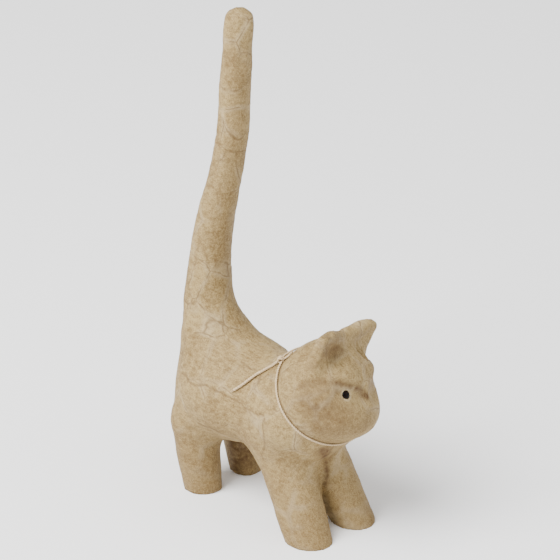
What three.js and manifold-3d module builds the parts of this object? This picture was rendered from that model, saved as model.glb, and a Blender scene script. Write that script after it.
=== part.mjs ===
// Papier-mache cat with a tall raised tail, bead eyes and a string tied round its neck.
// Millimetres, +Z up. The cat faces -Y, its own left is +X, and its soles stand on Z = 0.
import * as THREE from 'three';
import { mergeVertices } from 'three/addons/utils/BufferGeometryUtils.js';
import Module from 'manifold-3d';

const wasm = await Module();
wasm.setup();

// Torso: a deep rump and a flatter chest
const rumpHalfWidth = 39.5;
const rumpHalfLength = 46.8;
const rumpHalfHeight = 33.8;
const rumpSetback = 34.2;
const rumpRise = 75.3;
const chestHalfWidth = 39.4;
const chestHalfLength = 30.4;
const chestHalfHeight = 29.7;
const chestSetback = -33.3;
const chestRise = 82.7;
const bellyRoundness = 0.86;
const torsoBlend = 30;
const bellyBlend = 12;

// Legs: stubby, the front pair stepping forward, each oval at its sole and turned toes inward
const frontFootSpread = 21;
const frontFootSetback = -52.4;
const frontFootRadius = 13.5;
const shoulderSpread = 12.3;
const shoulderSetback = -14.9;
const shoulderRise = 61;
const shoulderRadius = 18.2;
const rearFootSpread = 20.2;
const rearFootSetback = 49.7;
const rearFootRadius = 11.2;
const hipSpread = 20.5;
const hipSetback = 57.9;
const hipRise = 47.4;
const hipRadius = 15.6;
const soleOvalness = 0.16;
const toeTurnDegrees = 45;
const legBlend = 16.8;
const legCleft = 3;

// Neck: a thick short bridge from the chest to the back of the head
const neckRadius = 26.6;
const neckRootSetback = -25.4;
const neckRootRise = 88;
const neckHeadSetback = 10;
const neckHeadDrop = 2;
const neckBlend = 16;
const throatCrease = 2.5;

// Head: a round ball that turns and tilts as one, with the face at -Y of its own frame
const headHalfWidth = 36.6;
const headHalfLength = 31.1;
const headHalfHeight = 35.2;
const headSetback = -46.8;
const headRise = 102.2;
const headTurnDegrees = 14.8;
const headTiltDegrees = 13.8;

// Brows, muzzle and eye hollows, in the head's own frame
const browSpread = 13;
const browReach = 16;
const browRise = 14;
const browRadius = 8.2;
const browBlend = 8;
const muzzleHalfWidth = 22.3;
const muzzleHalfLength = 13.4;
const muzzleHalfHeight = 11.3;
const muzzleReach = 21.8;
const muzzleDrop = 12.4;
const muzzleBlend = 14;
const hollowInnerSpread = 7;
const hollowInnerReach = 34;
const hollowInnerRise = 6.5;
const hollowInnerRadius = 5.5;
const hollowOuterSpread = 24;
const hollowOuterReach = 27;
const hollowOuterRise = 11;
const hollowOuterRadius = 5.6;
const hollowBlend = 6;

// Ears, in the head's own frame: a rounded three-cornered plate
const earThickness = 9;
const earTipSpread = 31.9;
const earTipReach = 9.9;
const earTipRise = 41;
const earInnerSpread = 3.5;
const earInnerReach = 5.9;
const earInnerRise = 38.4;
const earOuterSpread = 28.7;
const earOuterReach = 2.9;
const earOuterRise = 19.3;
const earTopSpread = 22;
const earTopReach = 8;
const earTopRise = 41.2;
const earBlend = 8;

// Scoop in the front of each ear, tip end and base end: spread, reach, rise and radius
const rightScoop = [[30.2, 15.4, 36, 5.2], [20, 17, 32.4, 8.2]];
const leftScoop = [[27.1, 14.6, 36.1, 3.8], [17, 17.5, 31, 9]];
const scoopBlend = 2.4;

// Tail: radius, setback and share of the way up at each station of its centre line, root to tip
const tailRootRise = 112.1;
const tailTipRise = 340.5;
const tailStations = [
  [20.1, 60.6, 0],
  [16.2, 63.8, 0.095],
  [13.8, 62.4, 0.225],
  [12.3, 56.7, 0.365],
  [11.1, 47.7, 0.5],
  [10.3, 40.8, 0.63],
  [10, 38.1, 0.79],
  [9.7, 34, 1],
];
const tailBlend = 24.5;
const tailSteps = 24;

// Bead eyes, in the head's own frame
const eyeRadius = 2.6;
const eyeRightSpread = 18;
const eyeLeftSpread = 23;
const eyeRise = 6.3;
const eyeRightSink = 0.7;
const eyeLeftSink = 1.3;
const eyeClearance = 0.3;
const eyeSegments = 12;
const eyeRings = 8;

// String: a ring drawn tight round the neck in one leaning plane, a knot and two loose ends
const stringRadius = 0.8;
const stringSides = 8;
const stringGap = 0.3;
const ringSetback = -44;
const ringRise = 94;
const ringLeanDegrees = 45.5;
const ringTurnDegrees = 6;
const ringReach = 60;
const ringPointCount = 36;
const ringFacets = 48;
const tighteningPasses = 60;
const knotDegrees = 108;
const knotHalfLength = 2.7;
const knotHalfWidth = 2;
const knotLift = 2;
const crossingLift = 1.7;
const crossingDegrees = 14;

// Loose ends of the string: spread and setback of each station, and how far it clears the paper
const shortEnd = [
  [-12.9, -28.9, 1.2],
  [-13, -23.5, 1.2],
  [-12.4, -18.6, 1.5],
];
const longEnd = [
  [-15.1, -12.8, 1.2],
  [-18.2, -8, 1.5],
  [-20.4, -4, 1.5],
  [-23, -0.4, 1.4],
  [-26.8, 4.4, 1.2],
  [-30, 8.7, 1.1],
];
const shortEndFacets = 4;
const longEndFacets = 10;
const dropHeight = 150;

// Facet sizes of the cat: fine at the face, longer along the tail
const faceFacet = 3.5;
const sideFacet = 5.2;
const bodyFacet = 6.8;
const tailFacet = 10;
const skirtDepth = 8;
const gridMargin = 8;
const faceDepthShare = 0.7;
const faceLengthShare = 0.25;
const slopeReach = 0.05;
const settlePasses = 4;
const marchSteps = 80;
const marchShare = 0.7;

const floorSize = 400;
const fullTurn = 360;

// Field helpers: every distance is negative inside the paper
function vector(x, y, z) {
  return new THREE.Vector3(x, y, z);
}

function smoothUnion(a, b, blend) {
  const overlap = Math.max(blend - Math.abs(a - b), 0) / blend;
  return Math.min(a, b) - overlap * overlap * blend / 4;
}

function smoothCut(a, cutter, blend) {
  return -smoothUnion(-a, cutter, blend);
}

function ellipsoidDistance(point, centre, radii) {
  const scaled = point.clone().sub(centre).divide(radii);
  const size = scaled.length();
  const slope = Math.max(scaled.divide(radii).length(), 1e-6);
  return size * (size - 1) / slope;
}

// A limb is round where it starts; one with a wide direction is oval along that where it ends
function limbDistance(point, { from, fromRadius, to, toRadius, wide }) {
  const axis = to.clone().sub(from);
  const offset = point.clone().sub(from);
  const share = THREE.MathUtils.clamp(offset.dot(axis) / axis.lengthSq(), 0, 1);
  const radius = THREE.MathUtils.lerp(fromRadius, toRadius, share);
  offset.addScaledVector(axis, -share);
  offset.addScaledVector(wide, -offset.dot(wide) * soleOvalness * share);
  return offset.length() - radius;
}

function limb(from, fromRadius, to, toRadius, wide = vector(0, 0, 0)) {
  return { from, fromRadius, to, toRadius, wide };
}

// Torso and neck
const rumpCentre = vector(0, rumpSetback, rumpRise);
const rumpRadii = vector(rumpHalfWidth, rumpHalfLength, rumpHalfHeight);
const chestCentre = vector(0, chestSetback, chestRise);
const chestRadii = vector(chestHalfWidth, chestHalfLength, chestHalfHeight);
const belly = limb(
  rumpCentre, rumpHalfHeight * bellyRoundness,
  chestCentre, chestHalfHeight * bellyRoundness,
);
const headCentre = vector(0, headSetback, headRise);
const neck = limb(
  vector(0, neckRootSetback, neckRootRise), neckRadius,
  headCentre.clone().add(vector(0, neckHeadSetback, -neckHeadDrop)), neckRadius,
);

function torsoDistance(point) {
  const rump = ellipsoidDistance(point, rumpCentre, rumpRadii);
  const chest = ellipsoidDistance(point, chestCentre, chestRadii);
  const barrel = smoothUnion(smoothUnion(rump, chest, torsoBlend), limbDistance(point, belly), bellyBlend);
  return smoothUnion(barrel, limbDistance(point, neck), neckBlend);
}

// Legs, a left and a right of each pair, each running on below the floor where its sole is cut
function leg(top, topRadius, foot, footRadius) {
  const stretch = 1 + footRadius / top.distanceTo(foot);
  const end = top.clone().lerp(foot, stretch);
  const toeTurn = THREE.MathUtils.degToRad(toeTurnDegrees);
  const wide = vector(-Math.sign(foot.x) * Math.cos(toeTurn), -Math.sin(toeTurn), 0);
  return limb(top, topRadius, end, THREE.MathUtils.lerp(topRadius, footRadius, stretch), wide);
}

const legs = [-1, 1].flatMap((side) => [
  leg(
    vector(side * shoulderSpread, shoulderSetback, shoulderRise), shoulderRadius,
    vector(side * frontFootSpread, frontFootSetback, 0), frontFootRadius,
  ),
  leg(
    vector(side * hipSpread, hipSetback, hipRise), hipRadius,
    vector(side * rearFootSpread, rearFootSetback, 0), rearFootRadius,
  ),
]);

// Tail: short round limbs along one smooth curve through the stations
const tailCurve = new THREE.CatmullRomCurve3(tailStations.map(([radius, setback, share]) => {
  return vector(radius, setback, THREE.MathUtils.lerp(tailRootRise, tailTipRise, share));
}));
const tailLimbs = tailCurve.getPoints(tailSteps).slice(1).map((end, index) => {
  const start = tailCurve.getPoint(index / tailSteps);
  return limb(vector(0, start.y, start.z), start.x, vector(0, end.y, end.z), end.x);
});

function tailDistance(point) {
  return Math.min(...tailLimbs.map((piece) => limbDistance(point, piece)));
}

// Head: its frame turns about Z and then tilts about its own length
const headFrame = new THREE.Matrix4().makeRotationZ(THREE.MathUtils.degToRad(headTurnDegrees));
headFrame.multiply(new THREE.Matrix4().makeRotationY(THREE.MathUtils.degToRad(headTiltDegrees)));
headFrame.setPosition(headCentre);
const intoHead = headFrame.clone().invert();

const origin = vector(0, 0, 0);
const headRadii = vector(headHalfWidth, headHalfLength, headHalfHeight);
const muzzleCentre = vector(0, -muzzleReach, -muzzleDrop);
const muzzleRadii = vector(muzzleHalfWidth, muzzleHalfLength, muzzleHalfHeight);
const brow = vector(browSpread, -browReach, browRise);
const eyeHollow = limb(
  vector(hollowInnerSpread, -hollowInnerReach, hollowInnerRise), hollowInnerRadius,
  vector(hollowOuterSpread, -hollowOuterReach, hollowOuterRise), hollowOuterRadius,
);
const earTip = vector(earTipSpread, -earTipReach, earTipRise);
const earInner = vector(earInnerSpread, -earInnerReach, earInnerRise);
const earOuter = vector(earOuterSpread, -earOuterReach, earOuterRise);
const earTop = vector(earTopSpread, -earTopReach, earTopRise);
const earPlates = [
  new THREE.Triangle(earTip, earTop, earOuter),
  new THREE.Triangle(earTop, earInner, earOuter),
];
const [rightEarScoop, leftEarScoop] = [rightScoop, leftScoop].map((ends) => {
  const [tip, base] = ends.map(([spread, reach, rise]) => vector(spread, -reach, rise));
  return limb(tip, ends[0].at(-1), base, ends[1].at(-1));
});

function earDistance(point) {
  const reaches = earPlates.map((plate) => {
    return plate.closestPointToPoint(point, vector(0, 0, 0)).distanceTo(point);
  });
  return Math.min(...reaches) - earThickness / 2;
}

function headDistance(point) {
  const local = point.clone().applyMatrix4(intoHead);
  const earScoop = local.x < 0 ? rightEarScoop : leftEarScoop;
  local.x = Math.abs(local.x);
  const browed = local.distanceTo(brow) - browRadius;
  const skull = smoothUnion(ellipsoidDistance(local, origin, headRadii), browed, browBlend);
  const muzzle = ellipsoidDistance(local, muzzleCentre, muzzleRadii);
  const face = smoothUnion(skull, muzzle, muzzleBlend);
  const eared = smoothUnion(face, earDistance(local), earBlend);
  const scooped = smoothCut(eared, limbDistance(local, earScoop), scoopBlend);
  return smoothCut(scooped, limbDistance(local, eyeHollow), hollowBlend);
}

function catDistance(point) {
  const trunk = smoothUnion(torsoDistance(point), tailDistance(point), tailBlend);
  const legDistances = legs.map((one) => limbDistance(point, one));
  const footing = legDistances.reduce((a, b) => smoothUnion(a, b, legCleft));
  const body = smoothUnion(trunk, footing, legBlend);
  const whole = smoothUnion(body, headDistance(point), throatCrease);
  return Math.max(whole, -skirtDepth - point.z);
}

// Grid lines whose spacing follows the facet size wanted at each place
function gridLines(from, to, facetAt) {
  const lines = [from];
  while (lines.at(-1) < to) {
    lines.push(lines.at(-1) + facetAt(lines.at(-1)));
  }
  return lines;
}

function slopeAt(distance, point) {
  const along = (axis) => {
    const ahead = point.clone().setComponent(axis, point.getComponent(axis) + slopeReach);
    const behind = point.clone().setComponent(axis, point.getComponent(axis) - slopeReach);
    return (distance(ahead) - distance(behind)) / (2 * slopeReach);
  };
  return vector(along(0), along(1), along(2));
}

function settleOnSurface(distance, point) {
  const settled = point.clone();
  for (let pass = 0; pass < settlePasses; pass += 1) {
    const slope = slopeAt(distance, settled);
    settled.addScaledVector(slope, -distance(settled) / Math.max(slope.lengthSq(), 0.1));
  }
  return settled;
}

// Corners of a grid cell by their x, y and z bits, and its six faces as rings of corners
const cellCorners = [0, 1, 2, 3, 4, 5, 6, 7].map((bits) => [bits & 1, (bits >> 1) & 1, (bits >> 2) & 1]);
const cellFaces = [[0, 2, 6, 4], [1, 3, 7, 5], [0, 1, 5, 4], [2, 3, 7, 6], [0, 1, 3, 2], [4, 5, 7, 6]];

function edgeOf(first, second) {
  return Math.min(first, second) * 8 + Math.max(first, second);
}

// The crossed edges of one cell, gathered into the separate patches of surface inside it:
// on each face, a run of corners inside the paper ties the edges at its two ends
function patchesOf(inside) {
  const patches = [];
  const patchOf = new Map();
  const tie = (first, second) => {
    const a = patchOf.get(first) ?? [first];
    const b = patchOf.get(second) ?? [second];
    const joined = a === b ? a : [...new Set([...a, ...b])];
    joined.forEach((edge) => patchOf.set(edge, joined));
  };
  for (const ring of cellFaces) {
    for (let start = 0; start < 4; start += 1) {
      const before = ring[(start + 3) % 4];
      if (inside[ring[start]] && !inside[before]) {
        let end = start;
        while (inside[ring[(end + 1) % 4]]) {
          end += 1;
        }
        tie(edgeOf(before, ring[start]), edgeOf(ring[end % 4], ring[(end + 1) % 4]));
      }
    }
  }
  for (const patch of patchOf.values()) {
    if (!patches.includes(patch)) {
      patches.push(patch);
    }
  }
  return patches;
}

// A closed skin on a distance field: one vertex for each patch of surface in a grid cell,
// and one four-sided face, as two triangles, across each grid edge that the surface crosses
function skinOf(distance, xs, ys, zs) {
  const indexOf = (i, j, k) => (i * ys.length + j) * zs.length + k;
  const values = new Float64Array(xs.length * ys.length * zs.length);
  xs.forEach((x, i) => ys.forEach((y, j) => zs.forEach((z, k) => {
    values[indexOf(i, j, k)] = distance(vector(x, y, z));
  })));

  const vertices = [];
  const verticesOfCell = new Map();
  const fillCell = (i, j, k) => {
    const places = cellCorners.map(([a, b, c]) => vector(xs[i + a], ys[j + b], zs[k + c]));
    const depths = cellCorners.map(([a, b, c]) => values[indexOf(i + a, j + b, k + c)]);
    const vertexOfEdge = new Map();
    for (const patch of patchesOf(depths.map((depth) => depth < 0))) {
      const centre = vector(0, 0, 0);
      for (const edge of patch) {
        const first = Math.floor(edge / 8);
        const second = edge % 8;
        const share = depths[first] / (depths[first] - depths[second]);
        centre.add(places[first].clone().lerp(places[second], share));
        vertexOfEdge.set(edge, vertices.length);
      }
      vertices.push(settleOnSurface(distance, centre.divideScalar(patch.length)));
    }
    return vertexOfEdge;
  };
  const vertexAt = (i, j, k, edge) => {
    const key = indexOf(i, j, k);
    if (!verticesOfCell.has(key)) {
      verticesOfCell.set(key, fillCell(i, j, k));
    }
    return verticesOfCell.get(key).get(edge);
  };

  const indices = [];
  const addFace = (around, outward) => {
    const [a, b, c, d] = outward ? around : [...around].reverse();
    const across = vertices[a].distanceTo(vertices[c]) <= vertices[b].distanceTo(vertices[d]);
    indices.push(...(across ? [a, b, c, a, c, d] : [a, b, d, b, c, d]));
  };
  for (let i = 1; i < xs.length - 1; i += 1) {
    for (let j = 1; j < ys.length - 1; j += 1) {
      for (let k = 1; k < zs.length - 1; k += 1) {
        const inside = values[indexOf(i, j, k)] < 0;
        if (inside !== values[indexOf(i + 1, j, k)] < 0) {
          addFace([vertexAt(i, j - 1, k - 1, edgeOf(6, 7)), vertexAt(i, j, k - 1, edgeOf(4, 5)),
            vertexAt(i, j, k, edgeOf(0, 1)), vertexAt(i, j - 1, k, edgeOf(2, 3))], inside);
        }
        if (inside !== values[indexOf(i, j + 1, k)] < 0) {
          addFace([vertexAt(i - 1, j, k - 1, edgeOf(5, 7)), vertexAt(i - 1, j, k, edgeOf(1, 3)),
            vertexAt(i, j, k, edgeOf(0, 2)), vertexAt(i, j, k - 1, edgeOf(4, 6))], inside);
        }
        if (inside !== values[indexOf(i, j, k + 1)] < 0) {
          addFace([vertexAt(i - 1, j - 1, k, edgeOf(3, 7)), vertexAt(i, j - 1, k, edgeOf(2, 6)),
            vertexAt(i, j, k, edgeOf(0, 4)), vertexAt(i - 1, j, k, edgeOf(1, 5))], inside);
        }
      }
    }
  }
  const geometry = new THREE.BufferGeometry().setFromPoints(vertices);
  geometry.setIndex(indices);
  return geometry;
}

// Solids for joining and cutting
function sewn(geometry) {
  const bare = geometry.clone();
  bare.deleteAttribute('normal');
  bare.deleteAttribute('uv');
  return mergeVertices(bare, 1e-4);
}

function solidOf(geometry) {
  return new wasm.Manifold(new wasm.Mesh({
    numProp: 3,
    vertProperties: new Float32Array(geometry.attributes.position.array),
    triVerts: new Uint32Array(geometry.index.array),
  }));
}

function geometryOf(solid) {
  const mesh = solid.getMesh();
  const geometry = new THREE.BufferGeometry();
  geometry.setAttribute('position', new THREE.BufferAttribute(mesh.vertProperties, 3));
  geometry.setIndex(new THREE.BufferAttribute(mesh.triVerts, 1));
  return geometry;
}

// Eye: a round bead sunk a little into the paper, where a line forward meets the face
function eyeCentre(spread, sink) {
  const ahead = vector(spread, -ringReach, eyeRise).applyMatrix4(headFrame);
  const place = marchTo(ahead, vector(0, 1, 0).transformDirection(headFrame), 0);
  return place.addScaledVector(slopeAt(catDistance, place).normalize(), -sink);
}

function bead(radius) {
  return new THREE.SphereGeometry(radius, eyeSegments, eyeRings);
}

function catGeometry(eyeCentres) {
  const earReach = (earTip.length() + earTipSpread) / 2;
  const reach = Math.max(rumpHalfWidth, chestHalfWidth, earReach) + gridMargin;
  const back = rumpSetback + rumpHalfLength + gridMargin;
  const front = headSetback - headHalfLength - muzzleHalfLength - gridMargin;
  const [tailTipRadius] = tailStations.at(-1);
  const top = tailTipRise + tailTipRadius + gridMargin;
  const earsTop = headRise + earTipRise + earThickness;
  const throat = headRise - headHalfHeight * faceDepthShare;
  const chin = headSetback + headHalfLength * faceLengthShare;
  const xs = gridLines(-reach, reach, () => sideFacet);
  const ys = gridLines(front, back, (y) => (y < chin ? faceFacet : bodyFacet));
  const zs = gridLines(-skirtDepth - gridMargin, top, (z) => {
    if (z > earsTop) {
      return tailFacet;
    }
    return z > throat ? faceFacet : bodyFacet;
  });
  let solid = solidOf(skinOf(catDistance, xs, ys, zs));
  const floor = new THREE.BoxGeometry(floorSize, floorSize, floorSize);
  floor.translate(0, 0, -floorSize / 2);
  solid = solid.subtract(solidOf(sewn(floor)));
  for (const centre of eyeCentres) {
    const seat = bead(eyeRadius + eyeClearance);
    seat.translate(...centre.toArray());
    solid = solid.subtract(solidOf(sewn(seat)));
  }
  return geometryOf(solid);
}

// Marches from a start along a direction until the paper is one gap away
function marchTo(start, direction, gap) {
  const place = start.clone();
  for (let step = 0; step < marchSteps; step += 1) {
    place.addScaledVector(direction, (catDistance(place) - gap) * marchShare);
  }
  return place;
}

// String: the ring's points lie in its own plane and are drawn tight over the hollows
const ringFrame = new THREE.Matrix4().makeRotationZ(THREE.MathUtils.degToRad(ringTurnDegrees));
ringFrame.multiply(new THREE.Matrix4().makeRotationX(THREE.MathUtils.degToRad(ringLeanDegrees)));
ringFrame.setPosition(vector(0, ringSetback, ringRise));

function ringSpoke(degrees) {
  const angle = THREE.MathUtils.degToRad(degrees);
  return vector(Math.cos(angle), Math.sin(angle), 0).transformDirection(ringFrame);
}

function ringPoints() {
  const centre = vector(0, ringSetback, ringRise);
  const clearance = stringRadius + stringGap;
  const turns = Array.from({ length: ringPointCount }, (_, index) => {
    return knotDegrees + fullTurn * index / ringPointCount;
  });
  let points = turns.map((degrees) => {
    const spoke = ringSpoke(degrees);
    return marchTo(centre.clone().addScaledVector(spoke, ringReach), spoke.negate(), clearance);
  });
  for (let pass = 0; pass < tighteningPasses; pass += 1) {
    points = points.map((point, index) => {
      const next = points[(index + 1) % ringPointCount];
      const middle = points.at(index - 1).clone().lerp(next, 0.5);
      const outward = ringSpoke(turns[index]);
      const drawnIn = outward.dot(middle.sub(point));
      const nearer = point.clone().addScaledVector(outward, drawnIn);
      return catDistance(nearer) < clearance ? point : nearer;
    });
  }
  const last = points[0].clone();
  return [...points, last].map((point, index) => {
    const toEnd = fullTurn * (ringPointCount - index) / ringPointCount;
    const lift = crossingLift * Math.max(1 - toEnd / crossingDegrees, 0);
    return point.clone().addScaledVector(ringSpoke(knotDegrees - toEnd), lift);
  });
}

function restingPoint([spread, setback, lift]) {
  const place = marchTo(vector(spread, setback, dropHeight), vector(0, 0, -1), 0);
  return place.addScaledVector(slopeAt(catDistance, place).normalize(), lift);
}

function strand(points, facets) {
  const rim = Array.from({ length: stringSides }, (_, index) => {
    const angle = 2 * Math.PI * index / stringSides;
    return new THREE.Vector2(stringRadius * Math.cos(angle), stringRadius * Math.sin(angle));
  });
  return new THREE.ExtrudeGeometry(new THREE.Shape(rim), {
    steps: facets,
    bevelEnabled: false,
    extrudePath: new THREE.CatmullRomCurve3(points),
  });
}

function stringGeometry() {
  const ring = ringPoints();
  const knotCentre = ring[0].clone().addScaledVector(ringSpoke(knotDegrees), knotLift - stringRadius);
  const knot = new THREE.SphereGeometry(1, stringSides, stringSides - 2);
  knot.scale(knotHalfLength, knotHalfWidth, knotHalfWidth);
  knot.translate(...knotCentre.toArray());
  const pieces = [
    strand(ring, ringFacets),
    strand([...shortEnd.map(restingPoint), knotCentre], shortEndFacets),
    strand([knotCentre, ...longEnd.map(restingPoint)], longEndFacets),
    knot,
  ];
  return geometryOf(wasm.Manifold.union(pieces.map((piece) => solidOf(sewn(piece)))));
}

// Materials
const paper = new THREE.MeshStandardMaterial({ color: 0xc2ab87, roughness: 0.85, metalness: 0 });
const blackBead = new THREE.MeshStandardMaterial({ color: 0x0d0b0a, roughness: 0.18, metalness: 0 });
const cotton = new THREE.MeshStandardMaterial({ color: 0xe6dcc2, roughness: 0.9, metalness: 0 });

const cat = new THREE.Group();
const eyes = [
  ['eye_left', eyeCentre(eyeLeftSpread, eyeLeftSink)],
  ['eye_right', eyeCentre(-eyeRightSpread, eyeRightSink)],
];

const body = new THREE.Mesh(catGeometry(eyes.map(([, centre]) => centre)), paper);
body.name = 'cat';
cat.add(body);

for (const [name, centre] of eyes) {
  const eye = new THREE.Mesh(bead(eyeRadius), blackBead);
  eye.name = name;
  eye.position.copy(centre);
  cat.add(eye);
}

const string = new THREE.Mesh(stringGeometry(), cotton);
string.name = 'neck_string';
cat.add(string);

// The middle of the footprint is the origin
const footprint = new THREE.Box3().setFromObject(body).getCenter(vector(0, 0, 0));
cat.position.set(-footprint.x, -footprint.y, 0);

export default cat;
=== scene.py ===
# %% [markdown]
# # A papier-mache cat with a string round its neck
#
# The solid model gives the cat's form, and this lesson gives it its looks. The real thing is a hollow
# blank of moulded kraft paper: torn strips are pasted over each other, so the surface is full of low
# overlaps, soft lumps and seams. Two glossy black beads are the eyes, and a thin twisted cotton string
# is tied once round the neck. Lengths are in metres, +Z is up and the cat faces -Y.

# %% Load the solid model
import math

import bpy
import numpy as np
from mathutils import Matrix, Vector


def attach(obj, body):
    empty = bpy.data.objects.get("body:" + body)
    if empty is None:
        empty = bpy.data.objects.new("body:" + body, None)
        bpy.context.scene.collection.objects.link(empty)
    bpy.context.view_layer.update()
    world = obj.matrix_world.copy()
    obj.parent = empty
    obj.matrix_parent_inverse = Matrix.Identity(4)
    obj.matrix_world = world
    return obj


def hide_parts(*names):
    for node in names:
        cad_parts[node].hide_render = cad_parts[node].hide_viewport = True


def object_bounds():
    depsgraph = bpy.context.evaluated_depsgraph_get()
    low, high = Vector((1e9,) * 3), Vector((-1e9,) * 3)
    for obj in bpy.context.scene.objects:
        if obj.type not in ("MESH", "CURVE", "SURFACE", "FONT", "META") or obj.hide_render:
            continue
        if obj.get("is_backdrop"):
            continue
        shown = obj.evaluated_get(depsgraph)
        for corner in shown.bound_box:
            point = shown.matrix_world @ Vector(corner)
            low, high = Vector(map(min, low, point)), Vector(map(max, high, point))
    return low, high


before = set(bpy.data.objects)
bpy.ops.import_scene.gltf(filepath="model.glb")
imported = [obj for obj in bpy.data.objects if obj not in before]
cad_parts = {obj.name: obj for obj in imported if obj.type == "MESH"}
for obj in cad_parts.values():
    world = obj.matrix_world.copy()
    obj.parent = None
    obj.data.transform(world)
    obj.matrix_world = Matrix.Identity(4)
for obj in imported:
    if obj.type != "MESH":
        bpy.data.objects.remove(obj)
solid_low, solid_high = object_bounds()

MM = 0.001
solid_size = [round((high - low) / MM, 1) for low, high in zip(solid_low, solid_high)]
print("solid model", sorted(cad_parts), solid_size, "mm")

# %% [markdown]
# ## The camera
#
# The photograph was taken from well above the cat's right front side with a long lens, because both
# pairs of legs look almost the same size. The place below was found by laying the model's outline over
# the photographed one. A camera could also be aimed with a Track To constraint, but a plain rotation
# is easier to keep.

# %% Place the camera
IMAGE_WIDTH = 560
SENSOR_WIDTH = 36.0
CAMERA_TURN = math.radians(-44.5)
CAMERA_RISE = math.radians(26.3)
CAMERA_DISTANCE = 3.0
METRES_PER_PIXEL = 0.0006575
CAMERA_TARGET = Vector((0.00425, 0.00544, 0.1625))

toward_camera = Vector((
    math.sin(CAMERA_TURN) * math.cos(CAMERA_RISE),
    -math.cos(CAMERA_TURN) * math.cos(CAMERA_RISE),
    math.sin(CAMERA_RISE),
))
bpy.ops.object.camera_add(
    location=CAMERA_TARGET + toward_camera * CAMERA_DISTANCE,
    rotation=(-toward_camera).to_track_quat("-Z", "Y").to_euler(),
)
camera = bpy.context.object
camera.data.sensor_width = SENSOR_WIDTH
camera.data.lens = CAMERA_DISTANCE / METRES_PER_PIXEL * SENSOR_WIDTH / IMAGE_WIDTH
camera.data.clip_end = 20
bpy.context.scene.camera = camera
print("camera lens", round(camera.data.lens, 1), "mm")

# %% [markdown]
# ## Small helpers for the modelling
#
# An operator acts on everything that is selected, so each step begins by choosing one object alone.
# `choose` does that, and `apply_modifier` adds one modifier and applies it at once, as a modeller does
# with the stack in the properties editor.

# %% Choose an object, apply a modifier
def choose(piece):
    bpy.ops.object.select_all(action="DESELECT")
    piece.select_set(True)
    bpy.context.view_layer.objects.active = piece


def apply_modifier(piece, kind, **settings):
    choose(piece)
    modifier = piece.modifiers.new(kind.lower(), kind)
    for name, value in settings.items():
        setattr(modifier, name, value)
    bpy.ops.object.modifier_apply(modifier=modifier.name)


def name_piece(piece, name):
    piece.name = name
    piece.data.name = name
    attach(piece, "root")
    return piece


# %% [markdown]
# ## The string's route
#
# The string starts at a short loose end behind the head, goes through the knot, once round the neck in
# a plane that leans forward under the chin, through the knot again and out along the back. The points
# follow the solid's string, which is drawn tight over the neck, to within a millimetre. A smooth curve
# through them is walked in half-millimetre steps, because the twist of the yarn needs that many points.

# %% The points of the string, in millimetres
SHORT_END = [(-16.63, -26.80, 128.45), (-16.77, -21.38, 122.46), (-16.29, -16.50, 119.17)]
RING = [
    (-17.55, -18.81, 119.65), (-23.16, -21.50, 117.53), (-28.11, -24.70, 114.82),
    (-32.39, -28.31, 111.62), (-35.88, -32.29, 107.96), (-38.38, -36.60, 103.87),
    (-39.69, -41.09, 99.46), (-39.70, -45.59, 94.91), (-38.38, -49.88, 90.43),
    (-35.84, -53.76, 86.23), (-32.30, -57.09, 82.49), (-28.04, -59.80, 79.29),
    (-23.33, -61.94, 76.62), (-18.28, -63.50, 74.50), (-13.01, -64.51, 72.92),
    (-7.58, -64.99, 71.86), (-2.07, -64.96, 71.30), (3.49, -64.41, 71.27),
    (9.05, -63.31, 71.79), (14.46, -61.58, 72.97), (19.47, -59.14, 74.90),
    (23.88, -56.07, 77.54), (27.85, -52.58, 80.66), (31.31, -48.65, 84.26),
    (33.61, -44.26, 88.46), (34.33, -39.64, 93.06), (33.61, -35.07, 97.76),
    (31.71, -30.73, 102.36), (28.74, -26.73, 106.71), (24.78, -23.22, 110.69),
    (19.97, -20.27, 114.18), (14.48, -17.95, 117.12), (8.41, -16.32, 119.42),
    (1.92, -15.52, 120.91), (-4.78, -15.68, 121.47), (-11.47, -16.48, 121.37),
    (-18.19, -17.74, 120.81),
]
LONG_END = [
    (-18.94, -10.94, 113.86), (-22.29, -6.12, 109.64), (-24.59, -2.22, 106.28),
    (-27.25, 1.24, 102.55), (-31.03, 5.74, 97.28), (-34.22, 9.90, 93.24),
]
KNOT = Vector((-18.01, -18.06, 120.47)) * MM
STRING_DIAMETER = 1.6 * MM
STRING_STEP = 0.5 * MM
SAMPLES_PER_SPAN = 40


def smooth_route(points, step):
    stations = np.array(points) * MM
    padded = np.vstack([2 * stations[0] - stations[1], stations, 2 * stations[-1] - stations[-2]])
    fine = []
    for before, here, there, after in zip(padded, padded[1:], padded[2:], padded[3:]):
        for t in np.linspace(0, 1, SAMPLES_PER_SPAN, endpoint=False):
            fine.append(0.5 * (
                2 * here + (there - before) * t
                + (2 * before - 5 * here + 4 * there - after) * t ** 2
                + (3 * here - before - 3 * there + after) * t ** 3
            ))
    fine = np.array(fine + [stations[-1]])
    walked = np.concatenate([[0], np.cumsum(np.linalg.norm(np.diff(fine, axis=0), axis=1))])
    stops = np.linspace(0, walked[-1], round(walked[-1] / step) + 1)
    return np.stack([np.interp(stops, walked, fine[:, axis]) for axis in range(3)], 1), walked[-1]


string_route, string_length = smooth_route(SHORT_END + RING + LONG_END, STRING_STEP)
print("string length", round(string_length / MM, 1), "mm in", len(string_route), "points")

# %% [markdown]
# ## Twisted yarn
#
# Three thin plies are twisted together, so a cut across the yarn is a rounded clover. The clover is
# drawn once as a closed curve and used as the bevel of every strand. Turning it a little at each point,
# with the curve's tilt, makes the plies run round each other. Three separate tubes would look the same
# from here and cost more faces. The long loose end is drawn thicker, with the curve's radius, because
# it looks untwisted and swollen in the photograph.

# %% Draw the clover
PLIES = 3
PLY_PITCH = 5.5 * MM
PLY_DEPTH = 0.22
CLOVER_POINTS = 12


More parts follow.
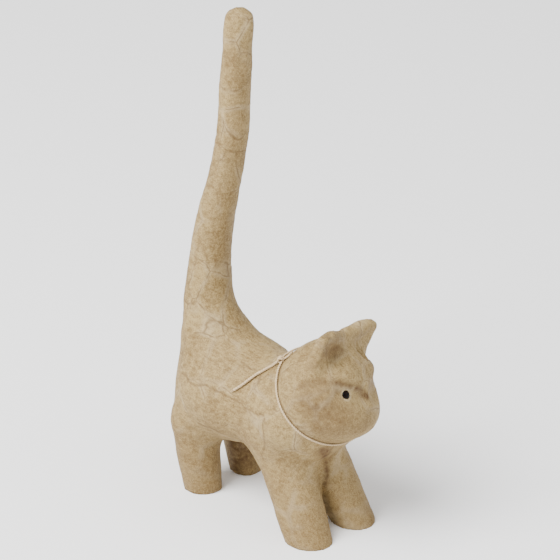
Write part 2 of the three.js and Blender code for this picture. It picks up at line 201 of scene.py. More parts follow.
def add_curve(name, points, closed=False):
    bpy.ops.object.select_all(action="DESELECT")
    bpy.ops.curve.primitive_nurbs_path_add(location=(0, 0, 0))
    curve = bpy.context.object
    curve.data.splines.clear()
    spline = curve.data.splines.new("POLY")
    spline.points.add(len(points) - 1)
    spline.points.foreach_set("co", [value for point in points for value in (*point, 1)])
    spline.use_cyclic_u = closed
    curve.name = name
    return curve


clover_points = []
for index in range(CLOVER_POINTS):
    angle = 2 * math.pi * index / CLOVER_POINTS
    radius = STRING_DIAMETER / 2 * (1 - PLY_DEPTH + PLY_DEPTH * math.cos(PLIES * angle))
    clover_points.append((radius * math.cos(angle), radius * math.sin(angle), 0))
clover = add_curve("ply_section", clover_points, closed=True)
clover.data.dimensions = "2D"
print("clover of", CLOVER_POINTS, "points")

# %% Draw a strand along a route
LOOSE_LENGTH = 38 * MM
SWELLING_LENGTH = 3 * MM
LOOSENING = 1.4


def add_yarn(name, route, thickness):
    yarn = add_curve(name, route)
    yarn.data.twist_mode = "MINIMUM"
    yarn.data.bevel_mode = "OBJECT"
    yarn.data.bevel_object = clover
    yarn.data.use_fill_caps = True
    spacing = np.linalg.norm(np.diff(route, axis=0), axis=1).mean()
    turns = [2 * math.pi * spacing * index / PLY_PITCH for index in range(len(route))]
    yarn.data.splines[0].points.foreach_set("tilt", turns)
    yarn.data.splines[0].points.foreach_set("radius", thickness)
    choose(yarn)
    bpy.ops.object.convert(target="MESH")
    bpy.ops.object.shade_smooth()
    return name_piece(bpy.context.object, name)


to_end = (len(string_route) - 1 - np.arange(len(string_route))) * STRING_STEP
string_thickness = np.interp(
    to_end, (0, LOOSE_LENGTH, LOOSE_LENGTH + SWELLING_LENGTH), (LOOSENING, LOOSENING, 1),
)
string = add_yarn("neck_yarn", string_route, string_thickness)
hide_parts("neck_string")
print("string of", len(string.data.polygons), "faces")

# %% [markdown]
# ## The knot and the frayed ends
#
# A tight overhand knot in thin string reads as two or three turns wrapped across the strands, so the
# same yarn is wound in a short helix about them, pulled in at both its ends. Cut cotton opens into
# fibres, so a few hair-fine curves spread from each loose end. They are seeded, so every run is alike.

# %% Wind the knot
KNOT_RADIUS = 1.75 * MM
KNOT_ADVANCE = 4.2 * MM
KNOT_TURNS = 2.6
KNOT_TAPER = 0.55
KNOT_THICKNESS = 1.1
KNOT_STEPS = 90

strand_line = (Vector(RING[1]) - Vector(RING[0])).normalized()
knot_outward = Vector((-0.377, 0.631, 0.678))
knot_outward = (knot_outward - strand_line * knot_outward.dot(strand_line)).normalized()
knot_sideways = strand_line.cross(knot_outward)
knot_route = []
for index in range(KNOT_STEPS + 1):
    share = index / KNOT_STEPS
    angle = 2 * math.pi * KNOT_TURNS * share
    radius = KNOT_RADIUS * (1 - KNOT_TAPER * abs(2 * share - 1) ** 4)
    spot = KNOT + strand_line * KNOT_ADVANCE * (share - 0.5)
    spot += (knot_outward * math.cos(angle) + knot_sideways * math.sin(angle)) * radius
    knot_route.append(tuple(spot))
knot = add_yarn("knot_turns", np.array(knot_route), np.full(len(knot_route), KNOT_THICKNESS))
print("knot of", len(knot.data.polygons), "faces")

# %% Spread the fibres and remove the clover
FIBRES_PER_END = 12
FIBRE_LENGTH = 2.6 * MM
FIBRE_RADIUS = 0.07 * MM
FIBRE_ROOT = 1 * MM
FIBRE_SCATTER = 0.3 * MM
FIBRE_LEAN = 0.28
FIBRE_STEPS = 5
FIBRE_UNEVENNESS = (0.85, 1.1)

dice = np.random.default_rng(11)
fibres = add_curve("frayed_fibres", [(0, 0, 0), (0, 0, MM)])
fibres.data.splines.clear()
for tip, inner in ((string_route[0], string_route[4]), (string_route[-1], string_route[-5])):
    outward = (tip - inner) / np.linalg.norm(tip - inner)
    for fibre in range(FIBRES_PER_END):
        lean = dice.normal(0, FIBRE_LEAN, 3)
        start = tip + dice.normal(0, FIBRE_SCATTER, 3) - outward * FIBRE_ROOT
        spline = fibres.data.splines.new("POLY")
        spline.points.add(FIBRE_STEPS)
        for step, point in enumerate(spline.points):
            reach = FIBRE_LENGTH * step / FIBRE_STEPS * dice.uniform(*FIBRE_UNEVENNESS)
            bend = lean * reach * step / FIBRE_STEPS
            point.co = (*(start + outward * reach + bend), 1)
fibres.data.bevel_depth = FIBRE_RADIUS
fibres.data.bevel_resolution = 0
choose(fibres)
bpy.ops.object.convert(target="MESH")
fibres = name_piece(bpy.context.object, "frayed_fibres")
bpy.data.objects.remove(clover)

print(2 * FIBRES_PER_END, "fibres at the string's two ends")

# %% [markdown]
# ## The paper skin
#
# The solid has flat facets. A copy of it is merged, remeshed into even small squares, and faired: each
# pass of smoothing pulls the surface in and a slightly stronger pass pushes it out, so the facets go
# and the ears and the tail keep their thickness. A subdivision surface would keep the uneven facets as
# ripples. The soles stay flat, so the faces near the ground are left out of the fairing and pressed
# level.

# %% Copy, remesh and fair the solid
VOXEL = 1.15 * MM
FAIRING_PASSES = 50
FAIRING_IN = 0.6
FAIRING_OUT = -0.645
SOLE_ZONE = 1.6 * MM
SOLE_ROUNDING = 0.6 * VOXEL
MERGE_GAP = 0.01 * MM


def select_where(piece, chosen):
    choose(piece)
    bpy.ops.object.mode_set(mode="EDIT")
    bpy.ops.mesh.select_mode(type="VERT")
    bpy.ops.mesh.select_all(action="DESELECT")
    bpy.ops.object.mode_set(mode="OBJECT")
    piece.data.vertices.foreach_set("select", chosen.astype(bool))
    bpy.ops.object.mode_set(mode="EDIT")


def places_of(piece):
    flat = np.empty(len(piece.data.vertices) * 3)
    piece.data.vertices.foreach_get("co", flat)
    return flat.reshape(-1, 3)


choose(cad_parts["cat"])
bpy.ops.object.duplicate()
cat = name_piece(bpy.context.object, "paper_cat")
choose(cat)
bpy.ops.object.mode_set(mode="EDIT")
bpy.ops.mesh.select_all(action="SELECT")
bpy.ops.mesh.remove_doubles(threshold=MERGE_GAP)
bpy.ops.object.mode_set(mode="OBJECT")
apply_modifier(cat, "REMESH", mode="VOXEL", voxel_size=VOXEL, use_smooth_shade=True)
select_where(cat, places_of(cat)[:, 2] > SOLE_ZONE)
for fairing_pass in range(FAIRING_PASSES):
    bpy.ops.mesh.vertices_smooth(factor=FAIRING_IN)
    bpy.ops.mesh.vertices_smooth(factor=FAIRING_OUT)
bpy.ops.object.mode_set(mode="OBJECT")
select_where(cat, places_of(cat)[:, 2] < SOLE_ROUNDING)
bpy.ops.transform.resize(value=(1, 1, 0), center_override=(0, 0, 0))
bpy.ops.object.mode_set(mode="OBJECT")
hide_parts("cat")
print("paper skin of", len(cat.data.polygons), "faces")

# %% [markdown]
# ## Pasted strips
#
# Papier-mache is built from torn strips of thin paper, and their rims show as faint steps and lines.
# Every strip here is a rectangle with a wavy torn rim, laid on the skin at a random place and heading.
# A vertex that it covers is raised by 0.08 to 0.19 mm, rather more than one sheet of real paper, so
# that the step can be seen. A vertex near its rim is remembered as a seam for the paint. Modelling each
# strip as a sheet of its own would leave thousands of thin overlaps, and a painted bump alone would
# not change the outline.

# %% Lay the strips
STRIP_COUNT = 170
STRIP_THICKNESS = 0.16 * MM
STRIP_UNEVENNESS = (0.5, 1.2)
STRIP_HALF_LENGTHS = (16, 34)
STRIP_HALF_WIDTHS = (7, 13)
SIDE_TEARS = ((0.09, 5), (0.04, 1.7))
END_TEARS = ((0.05, 4), (0.02, 1.5))
STRIP_RIM = 0.9 * MM
STRIP_REACH = 22 * MM
STRIP_FACING = 0.25
SEAM_WIDTH = 0.55 * MM
SEAM_COVERED = 0.8


def normals_of(piece):
    flat = np.empty(len(piece.data.vertices) * 3)
    piece.data.vertices.foreach_get("normal", flat)
    return flat.reshape(-1, 3)


def torn_edge(half_size, run, shifts, tears):
    waves = (
        depth * np.sin(run / (length * MM) + shift) for (depth, length), shift in zip(tears, shifts)
    )
    return half_size * sum(waves, 1)


dice = np.random.default_rng(5)
places = places_of(cat)
facing = normals_of(cat)
relief = np.zeros(len(places))
seam = np.zeros(len(places))
tone = np.zeros(len(places))
for strip in range(STRIP_COUNT):
    middle = dice.integers(len(places))
    outward = facing[middle]
    heading = np.cross(outward, dice.normal(0, 1, 3))
    heading /= np.linalg.norm(heading)
    across = np.cross(outward, heading)
    offset = places - places[middle]
    along_strip = offset @ heading
    over_strip = offset @ across
    half_length = dice.uniform(*STRIP_HALF_LENGTHS) * MM
    half_width = dice.uniform(*STRIP_HALF_WIDTHS) * MM
    shifts = dice.uniform(0, 6, 4)
    torn_width = torn_edge(half_width, along_strip, shifts[:2], SIDE_TEARS)
    torn_length = torn_edge(half_length, over_strip, shifts[2:], END_TEARS)
    inside = np.minimum(torn_width - np.abs(over_strip), torn_length - np.abs(along_strip))
    near = (np.abs(offset @ outward) < STRIP_REACH) & (facing @ outward > STRIP_FACING)
    cover = np.where(near, np.clip(inside / STRIP_RIM + 0.5, 0, 1), 0)
    rim = np.where(near, np.exp(-(inside / SEAM_WIDTH) ** 2), 0)
    relief += cover * STRIP_THICKNESS * dice.uniform(*STRIP_UNEVENNESS)
    seam = np.maximum(seam * (1 - SEAM_COVERED * cover), rim * dice.uniform(0.3, 1))
    tone = tone * (1 - cover) + cover * dice.uniform(-1, 1)
print(STRIP_COUNT, "strips lie up to", round(float(relief.max() / MM), 2), "mm deep")

# %% [markdown]
# ## Lumps, dents and the moved skin
#
# A blank of wet paper is never quite even. A sum of long ripples gives it soft lumps, the whole skin
# is raised by a quarter of a millimetre, and two dents beside the right ear take down what the solid
# has too much there. A dent is a place, a spread and a depth in millimetres. All relief fades out
# toward the soles. The raised and the sunk places become two vertex groups, and a Displace modifier
# for each moves the skin. Sculpting would do the same by hand, but could not be repeated exactly.

# %% Add the lumps and dents, and move the skin
RELIEF_LIMIT = 1.5 * MM
LUMP_COUNT = 14
LUMP_SIZE = 24 * MM
LUMP_SPREAD = (0.6, 1.6)
LUMP_HEIGHT = 0.32 * MM
SKIN_GAIN = 0.25 * MM
DENTS = [((-14, -58, 152), 6, -1.3), ((-22, -61, 153), 4, -0.8)]
SOLE_MARGIN = 0.6 * MM
SOLE_FADE = 4 * MM
WEIGHT_LEVELS = 400


def displace(piece, name, heights, direction):
    group = piece.vertex_groups.new(name=name)
    top = float(heights.max())
    levels = np.round(heights / top * WEIGHT_LEVELS).astype(int)
    for level in np.unique(levels[levels > 0]):
        group.add(np.nonzero(levels == level)[0].tolist(), level / WEIGHT_LEVELS, "REPLACE")
    apply_modifier(piece, "DISPLACE", strength=top * direction, mid_level=0, vertex_group=name)


def store_paint(piece, name, values):
    layer = piece.data.attributes.new(name, "FLOAT", "POINT")
    layer.data.foreach_set("value", np.asarray(values, dtype=np.float32))


lumps = np.zeros(len(places))
for ripple in range(LUMP_COUNT):
    run = dice.normal(0, 1, 3)
    run /= np.linalg.norm(run) * LUMP_SIZE * dice.uniform(*LUMP_SPREAD)
    lumps += np.sin(2 * np.pi * places @ run + dice.uniform(0, 6))
lumps *= LUMP_HEIGHT / LUMP_COUNT ** 0.5 / 2
relief = np.clip(relief - np.median(relief), -RELIEF_LIMIT, RELIEF_LIMIT) + lumps
relief += SKIN_GAIN
for place, spread, depth in DENTS:
    gap = np.linalg.norm(places - np.array(place) * MM, axis=1) / (spread * MM)
    relief += depth * MM * np.exp(-gap ** 2)
relief *= np.clip((places[:, 2] - SOLE_MARGIN) / SOLE_FADE, 0, 1)
displace(cat, "raised", np.maximum(relief, 0), 1)
displace(cat, "sunk", np.maximum(-relief, 0), -1)
store_paint(cat, "seam", seam)
store_paint(cat, "strip_tone", tone)
print("the skin moved by", round(float(relief.min() / MM), 2), "to",
      round(float(relief.max() / MM), 2), "mm")

# %% [markdown]
# ## The bead eyes
#
# Each eye is a low round bead, sunk in the paper and seen at a slant. A sphere is added at its size,
# flattened along the way that the face looks there, and given a Subdivision Surface so that its
# highlight is round. It is drawn 0.7 mm wider in radius than the solid's bead, because the black disc
# in the photograph is that wide. A half sphere would do as well, but a whole one needs no edge to be
# hidden. The pale ring of paper pushed up round the bead is a painted highlight in the skin below.

# %% Press in the two beads
EYES = {
    "eye_left": (Vector((24.42, -59.53, 102.41)) * MM, Vector((0.682, -0.678, 0.274))),
    "eye_right": (Vector((-12.69, -71.94, 112.28)) * MM, Vector((-0.03, -0.93, 0.36))),
}
BEAD_RADIUS = 3.3 * MM
BEAD_NARROWNESS = 0.98
BEAD_FLATNESS = 0.68
BEAD_LEAN = math.radians(-16)
BEAD_PROUD = {"eye_left": -0.4 * MM, "eye_right": 0.25 * MM}

beads = []
for eye, (middle, outward) in EYES.items():
    bpy.ops.object.select_all(action="DESELECT")
    bpy.ops.mesh.primitive_uv_sphere_add(segments=24, ring_count=12, radius=BEAD_RADIUS)
    bead = bpy.context.object
    out = outward.normalized()
    place = Matrix.Translation(middle + out * BEAD_PROUD[eye])
    turn = out.to_track_quat("Z", "Y").to_matrix().to_4x4() @ Matrix.Rotation(BEAD_LEAN, 4, "Z")
    bead.matrix_world = place @ turn @ Matrix.Diagonal((BEAD_NARROWNESS, 1, BEAD_FLATNESS, 1))
    bpy.ops.object.transform_apply(location=True, rotation=True, scale=True)
    apply_modifier(bead, "SUBSURF", levels=1, render_levels=1)
    bpy.ops.object.shade_smooth()
    beads.append(name_piece(bead, eye + "_bead"))
    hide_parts(eye)
print("beads", [bead.name for bead in beads])

# %% [markdown]
# ## Painted shade, specks and long seams
#
# Shade is painted into the paper's colour where light reaches less: under the brows and in the inner
# eye corners, over the cheeks and jaw that turn from the lamp, inside the ears and along their folds,
# below the muzzle, under the chin, between the legs, inside the left hind leg and along the side of the
# tail that turns from the lamp. Under the string's loose end it is a painted shadow. Two small specks
# on the brow and the chest are real dark marks. Each mark is a chain of places in millimetres, with how
# far it spreads and how strong it is. A straight chain would run below the round skin, so points along
# it are first moved to the nearest place on the skin. The distance from every vertex to the chain gives
# a soft mask, stored as an attribute, which stays put from every side. The paper also gets darker
# towards the ground, from 75 mm down. Vertices could be painted by hand too, but not twice the same
# way.

# %% List the painted shade and the specks: spread, strength and chain of places
# painted shade: all but the two specks darken the paper where shade falls, and under the loose end it
# is the string's painted shadow; the two specks are real marks
SHADES_AND_SPECKS = {
    "outer brow": (3.2, 0.75, [
        (-34.5, -54, 119.5), (-31, -58, 122), (-27, -62, 123.5), (-21, -66.6, 123),
    ]),
    "inner brow": (2.6, 0.85, [(-21, -66.6, 123), (-15, -70, 121), (-8, -72.2, 117)]),
    "under the brow": (5.5, 0.55, [(-33, -57, 117), (-27, -64, 117), (-20, -69, 116)]),
    "inner corner": (3.0, 1.0, [(-3, -73, 114.5), (1.5, -73.8, 109), (4, -74.8, 106)]),
    "back of the cheek": (8.5, 0.60, [(-35, -58.7, 112), (-33, -64, 106), (-29, -69, 101)]),
    "cheek": (13, 0.72, [(-31, -64, 108), (-26, -71, 106), (-22, -74, 99), (-26, -72, 94)]),
    "jaw": (8, 0.35, [(-29, -69.5, 97), (-24, -74, 91), (-14, -79, 89), (-3, -81, 92)]),
    "muzzle": (2.8, 0.25, [(-17, -78, 103), (-11, -80.5, 101), (-4, -81.5, 99), (5, -81, 97)]),
    "ear rim": (4.0, 0.62, [(-22, -62, 149), (-17, -61.5, 146.5), (-8, -58, 143)]),
    "ear hollow": (5.0, 0.80, [(-22, -61, 143), (-14.6, -58.1, 140), (-5, -57.5, 138)]),
    "ear foot": (2.6, 0.62, [(-14, -58.5, 136), (-6, -58.5, 134.5), (-1.5, -58, 136)]),
    "ear side": (3.2, 0.50, [(-23, -61, 139), (-26, -60, 136), (-28.5, -56.5, 132.5)]),
    "ear fold": (0.8, 0.5, [
        (-24.4, -62.3, 150.2), (-26.5, -60, 142), (-29, -55.5, 133.6), (-30.5, -53.8, 129),
    ]),
    "left ear": (3.5, 0.3, [(18, -51, 137), (26.4, -49.2, 134.8), (34, -48.5, 136)]),
    "left brow": (3.4, 0.5, [(10, -72, 110), (20, -66, 108), (30, -56, 105)]),
    "under the loose end": (1.3, 0.8, [(-24.5, -5.6, 105.4), (-28.6, -7.6, 102.1)]),
    "throat": (4.4, 1.3, [(-17, -56, 68), (-13, -54.5, 62.5), (-8, -50.5, 56)]),
    "between the legs": (2.4, 0.9, [(-14, -55, 63), (-8, -50, 56), (-1, -44, 46), (1.6, -41, 30)]),
    "left of the throat": (3.4, 0.6, [(16, -57, 66), (8, -51, 57), (1, -45, 47)]),
    "inside the hind leg": (14, 0.85, [(7, 46, 19), (12, 42, 17), (5, 49, 7), (5, 47, 34)]),
    "tail": (7, 0.27, [
        (-10, 30.5, 317), (-7, 31.4, 273), (-5.7, 37.8, 228), (-5, 48.3, 180), (0, 50.6, 144),
    ]),
    "brow speck": (0.7, 0.9, [(-14.9, -69.7, 123.5)]),
    "chest speck": (0.8, 0.8, [(13.5, -43.8, 45.5)]),
}
LONG_SEAMS = {
    "flank": [
        (-34, 59, 87), (-39, 43, 87.5), (-38, 28, 90), (-36, 15, 88.5), (-35, 3.5, 87),
        (-36.5, -7.5, 85.5), (-40.5, -26.5, 90.5),
    ],
    "shoulder": [(-41, -27.3, 88.5), (-39.3, -24.5, 71), (-35.5, -19.5, 53)],
    "back": [(-19.5, 17.5, 105.5), (-20.5, 4, 105)],
    "haunch": [(-38, 40, 59), (-37.7, 28.5, 60), (-35, 21, 58)],
}
print("shade_and_speck_places:", ", ".join(SHADES_AND_SPECKS))

# %% Store the painted shade, the specks and the long seams
LOW_DARKENING = 0.36
LOW_DARKENING_TOP = 75 * MM
LOW_DARKENING_FADE = 60 * MM
LONG_SEAM_WIDTH = 0.6 * MM
LONG_SEAM_WANDER = 0.45
CHAIN_SHARES = (0.2, 0.4, 0.6, 0.8, 1)


def distance_to_chain(spots, chain):
    if len(chain) == 1:
        return np.linalg.norm(spots - chain[0], axis=1)
    nearest = np.full(len(spots), 1.0)
    for start, end in zip(chain, chain[1:]):
        run = end - start
        share = np.clip((spots - start) @ run / (run @ run), 0, 1)
        nearest = np.minimum(nearest, np.linalg.norm(spots - start - share[:, None] * run, axis=1))
    return nearest


def lay_on_skin(chain, wander):
    places = [Vector(chain[0])]
    for start, end in zip(chain, chain[1:]):
        places += [Vector(start).lerp(Vector(end), share) for share in CHAIN_SHARES]
    shaken = [(place + Vector(dice.normal(0, wander, 3))) * MM for place in places]
    return np.array([cat.closest_point_on_mesh(place)[1] for place in shaken])


dice = np.random.default_rng(3)
spots = places_of(cat)
stain = np.zeros(len(spots))
# painted shade and specks: each chain darkens the paper near it
for spread, strength, chain in SHADES_AND_SPECKS.values():
    far = distance_to_chain(spots, lay_on_skin(chain, 0)) / (spread * MM)
    stain = np.maximum(stain, strength * np.exp(-far ** 2))
# the paper is made darker towards the ground, from 75 mm down
toward_ground = np.clip((LOW_DARKENING_TOP - spots[:, 2]) / LOW_DARKENING_FADE, 0, 1)
stain = np.maximum(stain, LOW_DARKENING * toward_ground)
store_paint(cat, "stain", stain)
long_seam = np.zeros(len(spots))
for chain in LONG_SEAMS.values():
    far = distance_to_chain(spots, lay_on_skin(chain, LONG_SEAM_WANDER)) / LONG_SEAM_WIDTH
    long_seam = np.maximum(long_seam, np.exp(-far ** 2))
store_paint(cat, "long_seam", long_seam)
print("darkened vertices", int((stain > 0.3).sum()), "seam vertices", int((long_seam > 0.5).sum()))

# %% [markdown]
# ## Painted shadow under the string, painted highlight round the eyes and where small seams show
#
# Three more masks come from distances and from the height above the ground. A painted shadow darkens
# the paper beside the string. A painted highlight makes a pale ring on the paper pushed up round each
# bead. The small random seams show on the body, and less on the face and the legs, which look smoother
# in the photograph.

# %% Store the three masks
SHADE_WIDTH = 1.5 * MM
EYE_RIM_RADIUS = 3.75 * MM
EYE_RIM_WIDTH = 0.5 * MM
FACE_MIDDLE = np.array([-14, -74, 104]) * MM
FACE_REACH = 26 * MM
FACE_SMOOTHNESS = 0.7
SEAMS_LOW = 40 * MM
SEAMS_FADE = 30 * MM
LEG_SEAMS = 0.25

# painted shadow: the paper beside the string is darkened
string_gap = distance_to_chain(spots, string_route[::6])
store_paint(cat, "string_shade", np.exp(-(string_gap / SHADE_WIDTH) ** 2))
# painted highlight: a pale ring on the paper round each bead
eye_rim = np.zeros(len(spots))
for middle, outward in EYES.values():
    ring_gap = np.linalg.norm(spots - np.array(middle), axis=1) - EYE_RIM_RADIUS
    eye_rim = np.maximum(eye_rim, np.exp(-(ring_gap / EYE_RIM_WIDTH) ** 2))
store_paint(cat, "eye_rim", eye_rim)
face = np.exp(-(np.linalg.norm(spots - FACE_MIDDLE, axis=1) / FACE_REACH) ** 4)
seamy = np.clip((spots[:, 2] - SEAMS_LOW) / SEAMS_FADE, LEG_SEAMS, 1) * (1 - FACE_SMOOTHNESS * face)
store_paint(cat, "seamy", seamy)
print("vertices beside the string", int((string_gap < SHADE_WIDTH).sum()))

# %% [markdown]
# ## Shader maths as Python
#
# A small class wraps one socket of a node tree, so a pattern can be written as an expression and each
# operator adds its own Math node. `Finish.node` adds any other node: its settings are set first and
# its sockets then get numbers, colours or links.

# %% The socket wrapper and the finish
class Value:
    def __init__(self, finish, socket):
        self.finish = finish
        self.socket = socket

    def maths(self, operation, *others, flip=False):
        terms = (*others, self) if flip else (self, *others)
        return self.finish.node("ShaderNodeMath", {"operation": operation}, dict(enumerate(terms)))

    def __add__(self, other):
        return self.maths("ADD", other)

    def __radd__(self, other):
        return self.maths("ADD", other, flip=True)

    def __sub__(self, other):
        return self.maths("SUBTRACT", other)

    def __rsub__(self, other):
        return self.maths("SUBTRACT", other, flip=True)

    def __mul__(self, other):
        return self.maths("MULTIPLY", other)

    def __rmul__(self, other):
        return self.maths("MULTIPLY", other, flip=True)


class Finish:
    def __init__(self, name, **constants):
        self.material = bpy.data.materials.new(name)
        self.material.use_nodes = True
        self.tree = self.material.node_tree
        self.shader = self.tree.nodes["Principled BSDF"]
        for socket, value in constants.items():
            self.shader.inputs[socket.replace("_", " ")].default_value = value

    def plug(self, socket, value):
        if isinstance(value, Value):
            self.tree.links.new(value.socket, socket)
        else:
            socket.default_value = value

    def node(self, kind, settings=None, sockets=None, out=0):
        made = self.tree.nodes.new(kind)
        for name, value in (settings or {}).items():
            setattr(made, name, value)
        for name, value in (sockets or {}).items():
            self.plug(made.inputs[name], value)
        return Value(self, made.outputs[out])

    def places(self):
        return self.node("ShaderNodeTexCoord", out="Object")

    def paint(self, name):
        return self.node("ShaderNodeAttribute", {"attribute_name": name}, out="Fac")

    def noise(self, scale, detail=3.0, roughness=0.5, vector=None):
        sockets = {
            "Vector": vector or self.places(), "Scale": scale, "Detail": detail, "Roughness": roughness,
        }
        return self.node("ShaderNodeTexNoise", {}, sockets)

    def patches(self, vector, scale, feature, out):
        sockets = {"Vector": vector, "Scale": scale}
        return self.node("ShaderNodeTexVoronoi", {"feature": feature}, sockets, out)

    def stretch(self, scale, rotation=(0, 0, 0)):
        return self.node("ShaderNodeMapping", {}, {
            "Vector": self.places(), "Scale": scale, "Rotation": rotation,
        })

    def mix(self, share, first, second):
        return self.node("ShaderNodeMix", {"data_type": "RGBA"}, {0: share, 6: first, 7: second}, out=2)

    def between(self, value, low, high):
        return self.node("ShaderNodeMapRange", {"clamp": True}, {"Value": value, 1: low, 2: high})

    def bump(self, height, distance, strength=1.0):
        return self.node("ShaderNodeBump", {}, {
            "Height": height, "Distance": distance, "Strength": strength,
        })

    def feed(self, **links):
        for socket, value in links.items():
            self.plug(self.shader.inputs[socket.replace("_", " ")], value)
        return self.material


print("shader helpers ready")

# %% [markdown]
# ## Kraft paper: the grain
#
# Kraft paper is warm and greyish, with dark and light fibres, and cloudy where the glue soaked in. Each
# of these is a noise of its own fineness. The fibre noise is drawn out along one slanted way, like
# threads. One noise with many octaves would need fewer nodes, but its grains couldn't be set apart.

# %% Choose the colours and the grain
KRAFT_DARK = (0.154, 0.093, 0.031, 1)
KRAFT_LIGHT = (0.364, 0.263, 0.114, 1)
CLOUDS_PER_METRE = 34
BREAKS_PER_METRE = 70
MOTTLES_PER_METRE = 260
FLECKS_PER_METRE = 600
FIBRES_PER_METRE = 800
GRAINS_PER_METRE = 1500
FIBRE_STRETCH = (1, 0.2, 0.6)
FIBRE_SLANT = (0.3, 0.2, 0.7)

paper = Finish("kraft_paper", Specular_IOR_Level=0.25)
clouds = paper.noise(CLOUDS_PER_METRE, 4, 0.6)
broken = paper.noise(BREAKS_PER_METRE, 3, 0.6)
mottle = paper.noise(MOTTLES_PER_METRE, 4, 0.65)
grain = paper.noise(GRAINS_PER_METRE, 2, 0.7)
fibre = paper.noise(FIBRES_PER_METRE, 2, 0.6, paper.stretch(FIBRE_STRETCH, FIBRE_SLANT))
fleck = paper.between(paper.noise(FLECKS_PER_METRE, 2, 0.6), 0.69, 0.76)
print("grain nodes", len(paper.tree.nodes))

# %% [markdown]
# ## Kraft paper: the torn patches
#
# A Voronoi pattern on warped places cuts the skin into torn patches. Each has its own tone, and the
# distance to its rim gives a thin dark line with a pale torn edge beside it, broken up by noise so that
# only some of the seams show. A finer pattern adds a few hair cracks. Plain places would give
# straight-sided cells like paving, so a colour noise bends them, and the whole pattern is moved to
# where its loops show less.

# %% Cut the torn patches
PATCHES_PER_METRE = 42
CRACK_FINENESS = 1.9
SWIRLS_PER_METRE = 48
WARP = 0.008
PATTERN_SHIFT = (0.047, 0.023, 0.015)

swirl = paper.node("ShaderNodeTexNoise", {}, {
    "Vector": paper.places(), "Scale": SWIRLS_PER_METRE, "Detail": 3,
}, out="Color")
shifted = paper.node("ShaderNodeMapping", {}, {"Vector": paper.places(), "Location": PATTERN_SHIFT})
warped = paper.node("ShaderNodeVectorMath", {"operation": "MULTIPLY_ADD"}, {
    0: swirl, 1: (WARP, WARP, WARP), 2: shifted,
})
patch_tone = paper.patches(warped, PATCHES_PER_METRE, "F1", "Color")
rim_distance = paper.patches(warped, PATCHES_PER_METRE, "DISTANCE_TO_EDGE", "Distance")
crack_distance = paper.patches(
    warped, PATCHES_PER_METRE * CRACK_FINENESS, "DISTANCE_TO_EDGE", "Distance",
)
rim = paper.between(rim_distance, 0.028, 0.0) * paper.between(broken, 0.44, 0.60)
crack = paper.between(crack_distance, 0.035, 0.0) * paper.between(broken, 0.50, 0.42)
torn = paper.between(rim_distance, 0.11, 0.03) * paper.between(clouds, 0.46, 0.62)
cut = (rim * 0.7 + crack * 0.12) * paper.paint("seamy") + paper.paint("seam") * 0.10
print("grain and patch nodes", len(paper.tree.nodes))

# %% [markdown]
# ## Kraft paper: colour, gloss and height
#
# The grain and the tone of each strip set how light the paper is, and the torn edges, the seams, the
# flecks, the painted shade with the specks, the painted highlight round the eyes and the painted shadow
# beside the string are laid over it one by one. Clouds and mottle thin the painted shade and the specks
# in places, so they are uneven. The roughness follows the clouds. A bump lifts the mottle, the fibres
# and the torn edges a little, and sinks the cuts.

# %% Lay the seams, the painted shade and the specks over the paper
# one dark brown serves the real flecks, the painted shade and the painted shadow beside the string
SHADE_AND_FLECK_BROWN = (0.075, 0.034, 0.010, 1)
SEAM_BROWN = (0.120, 0.068, 0.024, 1)
# pale colour of the real torn edges, also used for the painted highlight round the eyes
TORN_EDGE_AND_HIGHLIGHT = (0.520, 0.420, 0.260, 1)
PAPER_BUMP = 0.45 * MM

lightness = (
    0.5 + (clouds - 0.5) * 0.75 + (mottle - 0.5) * 1.25 + (grain - 0.5) * 2.4 + (fibre - 0.5) * 1.3
    + (patch_tone - 0.5) * 0.25 + paper.paint("strip_tone") * 0.05
)
# clouds and mottle make the painted shade and the specks uneven
blotchiness = 0.35 + paper.between(clouds * 0.25 + mottle * 0.75, 0.38, 0.62) * 0.75
colour = paper.mix(lightness, KRAFT_DARK, KRAFT_LIGHT)
# painted shade and specks, a painted highlight round the eyes and a painted shadow beside the string
# are mixed in with the real torn edges, seams and flecks
for share, laid in (
    (torn * 0.28, TORN_EDGE_AND_HIGHLIGHT),
    (cut, SEAM_BROWN),
    (paper.paint("long_seam") * (0.6 + broken * 0.5), SEAM_BROWN),
    (fleck * 0.5, SHADE_AND_FLECK_BROWN),
    (paper.paint("stain") * blotchiness, SHADE_AND_FLECK_BROWN),
    (paper.paint("eye_rim") * 0.9, TORN_EDGE_AND_HIGHLIGHT),
    (paper.paint("string_shade") * 0.75, SHADE_AND_FLECK_BROWN),
):
    colour = paper.mix(share, colour, laid)
height = mottle * 0.6 + grain * 0.15 + fibre * 0.2 + torn * 0.3 - cut * 0.7
cat.data.materials.clear()
cat.data.materials.append(paper.feed(
    Base_Color=colour,
    Roughness=0.58 + clouds * 0.25,
    Normal=paper.bump(height, PAPER_BUMP, 0.8),
))
print("paper nodes", len(paper.tree.nodes))

# %% [markdown]
# ## Cotton and bead gloss
#
# The string looks like undyed cotton: cream and matt, with tiny strands. The beads are glossy black
# with a trace of brown, and a faint mottle in the roughness keeps them from looking like a perfect
# mirror. An image of smears could do that too, but noise needs no mapping.

# %% Mix the cotton and the bead gloss
COTTON = (0.68, 0.53, 0.33, 1)
COTTON_SHADE = (0.34, 0.24, 0.13, 1)
BEAD_BLACK = (0.003, 0.002, 0.002, 1)
BEAD_BROWN = (0.014, 0.007, 0.004, 1)
STRANDS_PER_METRE = 2600
SMEARS_PER_METRE = 420

cotton = Finish("twisted_cotton", Roughness=0.85, Specular_IOR_Level=0.2)
strands = cotton.noise(STRANDS_PER_METRE, 3, 0.6)
cotton_material = cotton.feed(
    Base_Color=cotton.mix(cotton.between(strands, 0.35, 0.6), COTTON_SHADE, COTTON),
    Normal=cotton.bump(strands, 0.15 * MM, 0.7),
)
for piece in (string, knot, fibres):
    piece.data.materials.clear()
    piece.data.materials.append(cotton_material)

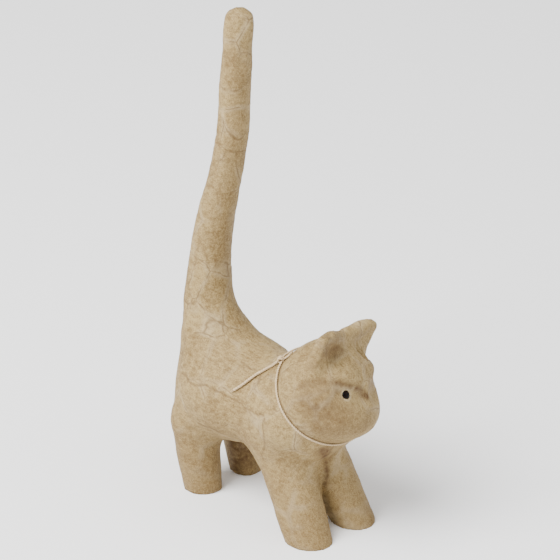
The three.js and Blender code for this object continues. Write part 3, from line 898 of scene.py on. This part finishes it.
gloss = Finish("bead_gloss", Specular_IOR_Level=0.05)
smears = gloss.noise(SMEARS_PER_METRE, 3, 0.5)
bead_material = gloss.feed(
    Base_Color=gloss.mix(gloss.between(smears, 0.45, 0.7), BEAD_BLACK, BEAD_BROWN),
    Roughness=0.10 + smears * 0.12,
)
for bead in beads:
    bead.data.materials.clear()
    bead.data.materials.append(bead_material)
print("materials", [material.name for material in bpy.data.materials])

# %% [markdown]
# ## Floor and light
#
# The photograph is a cut-out on white, lit softly from the upper left. A wide pale floor and a bright
# even world stand in for the white, a large soft area lamp at the upper left gives the form, and a weak
# one at the right keeps the shaded side readable. A small lamp would cast a harder shadow.

# %% Lay the floor and hang the lamps
bpy.ops.object.select_all(action="DESELECT")
bpy.ops.mesh.primitive_plane_add(size=30, location=(0, 0, 0))
floor = bpy.context.object
floor.name = "studio_floor"
pale = Finish("pale_floor", Base_Color=(0.95, 0.95, 0.95, 1), Roughness=0.9, Specular_IOR_Level=0.1)
floor.data.materials.append(pale.material)
floor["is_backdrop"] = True

WORLD_STRENGTH = 0.95
world = bpy.data.worlds.new("studio")
bpy.context.scene.world = world
world.use_nodes = True
world.node_tree.nodes["Background"].inputs["Color"].default_value = (1, 1, 1, 1)
world.node_tree.nodes["Background"].inputs["Strength"].default_value = WORLD_STRENGTH


def hang_lamp(name, place, size, power):
    bpy.ops.object.light_add(
        type="AREA", location=place, rotation=(-Vector(place)).to_track_quat("-Z", "Y").to_euler(),
    )
    lamp = bpy.context.object
    lamp.name = name
    lamp.data.size = size
    lamp.data.energy = power


hang_lamp("key", (-1.5, 0.3, 2.0), 1.6, 150)
hang_lamp("fill", (0.9, -1.7, 0.8), 1.4, 10)
print("lamps hung")

# %% [markdown]
# ## Measure and finish
#
# The dressed cat should be as large as the solid model. The relief of the paper takes it past the
# solid's box by up to 0.15 mm at the sides. Both boxes are measured in metres, and their sizes are
# printed in millimetres.

# %% Measure the dressed box
dressed_low, dressed_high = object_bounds()
dressed_size = [round((high - low) / MM, 1) for low, high in zip(dressed_low, dressed_high)]
print("dressed size", dressed_size, "mm")
